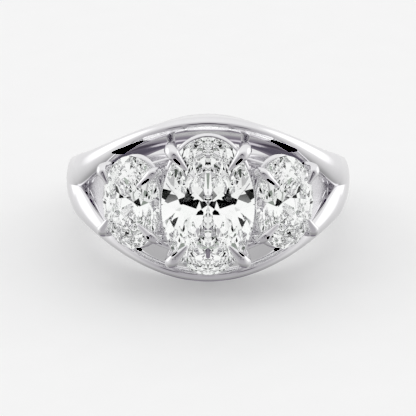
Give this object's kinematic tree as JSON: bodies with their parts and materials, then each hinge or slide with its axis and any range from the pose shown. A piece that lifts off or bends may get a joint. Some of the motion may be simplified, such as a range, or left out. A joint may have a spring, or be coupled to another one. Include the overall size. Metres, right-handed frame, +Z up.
{
  "type": "finger ring",
  "caption": "Finger ring in white metal, with a tall oval brilliant between smaller tilted ones, held by claws on a band that splits into sweeping rails.",
  "frame": {"origin": "on the surface the ring lies on, under the middle of its box", "axes": "+Z up, -Y the way the face of the head points, +X to the right of somebody looking at the face. The finger hole's axis leans 15.5 degrees from +Z towards +Y."},
  "size_m": [0.0214, 0.0252, 0.0123],
  "materials": {
    "white_metal": "mirror polish",
    "stone": "faceted, colourless and clear"
  },
  "bodies": {
    "root": {"band_with_settings": "white_metal", "center_stone": "stone", "left_stone": "stone", "right_stone": "stone"}
  },
  "joints": []
}
